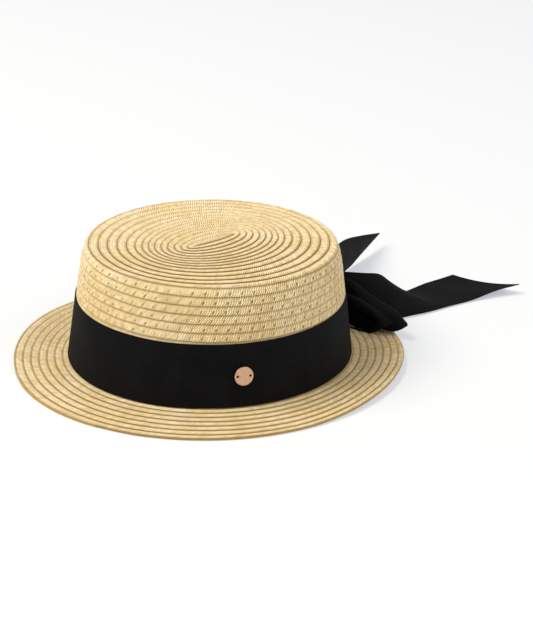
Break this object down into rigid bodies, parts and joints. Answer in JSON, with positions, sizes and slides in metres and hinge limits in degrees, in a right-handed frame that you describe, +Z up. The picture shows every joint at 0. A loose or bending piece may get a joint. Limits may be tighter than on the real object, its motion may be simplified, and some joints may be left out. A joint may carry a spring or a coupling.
{
  "type": "straw boater hat",
  "caption": "Flat-topped oval straw boater of sewn braid with a stiff level brim, a black grosgrain band tied in a bow at the back and a small round metal charm.",
  "frame": {"origin": "on the surface it rests on, under the middle of the whole part's bounding box, bow tails included", "axes": "+Z up, front of the hat towards -Y, bow and tails towards +Y, wearer's left towards +X"},
  "size_m": [0.2408, 0.3752, 0.0814],
  "materials": {
    "straw": "sewn rows of plaited wheat straw braid, matt",
    "ribbon": "black grosgrain with fine cross ribs",
    "metal": "satin rose gold plate"
  },
  "bodies": {
    "root": {"crown": "straw", "brim": "straw", "ribbon_band": "ribbon", "bow_knot": "ribbon", "bow_loop_right": "ribbon", "bow_loop_left": "ribbon", "bow_tail_right": "ribbon", "bow_tail_left": "ribbon", "charm": "metal"}
  },
  "joints": []
}
